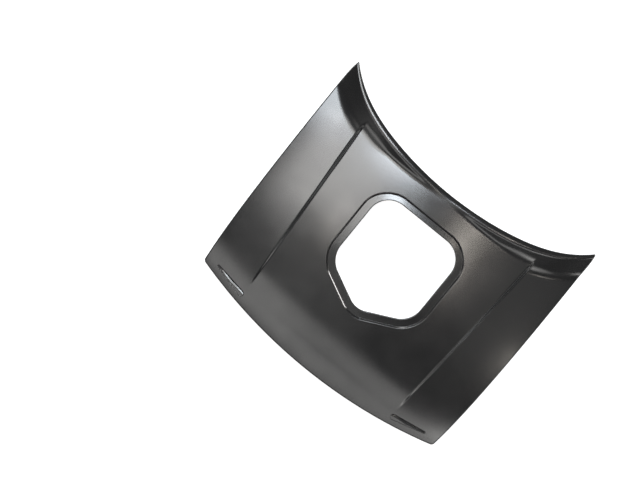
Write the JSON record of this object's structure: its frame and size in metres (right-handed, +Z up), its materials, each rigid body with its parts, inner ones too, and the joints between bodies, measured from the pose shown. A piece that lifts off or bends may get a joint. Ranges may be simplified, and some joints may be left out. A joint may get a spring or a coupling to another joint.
{
  "type": "car bonnet with scoop opening",
  "caption": "Pressed-steel car bonnet with a pentagonal scoop opening, raised centre, kicked-up rear lip, front corner pockets, and a welded inner frame with hinge and latch points",
  "frame": {"origin": "middle of the bounding box in plan, at the lowest point of the panel's turned-down edge", "axes": "+X to one side across the car, +Y towards the windscreen, +Z up, with the panel lying as it does when shut on a level car"},
  "size_m": [1.4803, 1.296, 0.1048],
  "materials": {
    "coated_panel": "semi-gloss black dip coat",
    "coated_plate": "semi-gloss black dip coat",
    "bare_steel": "dull plated",
    "mastic": "matt soft mastic"
  },
  "bodies": {
    "root": {"hinge_nut_left_1": "bare_steel", "hinge_nut_left_2": "bare_steel", "hinge_nut_right_1": "bare_steel", "hinge_nut_right_2": "bare_steel", "hinge_plate_left": "coated_plate", "hinge_plate_right": "coated_plate", "inner_frame": "coated_panel", "latch_nut_1": "bare_steel", "latch_nut_2": "bare_steel", "latch_plate": "coated_plate", "mastic_strip_left_1": "mastic", "mastic_strip_left_2": "mastic", "mastic_strip_left_3": "mastic", "mastic_strip_left_4": "mastic", "mastic_strip_left_5": "mastic", "mastic_strip_left_6": "mastic", "mastic_strip_right_1": "mastic", "mastic_strip_right_2": "mastic", "mastic_strip_right_3": "mastic", "mastic_strip_right_4": "mastic", "mastic_strip_right_5": "mastic", "mastic_strip_right_6": "mastic", "outer_skin": "coated_panel"}
  },
  "joints": []
}
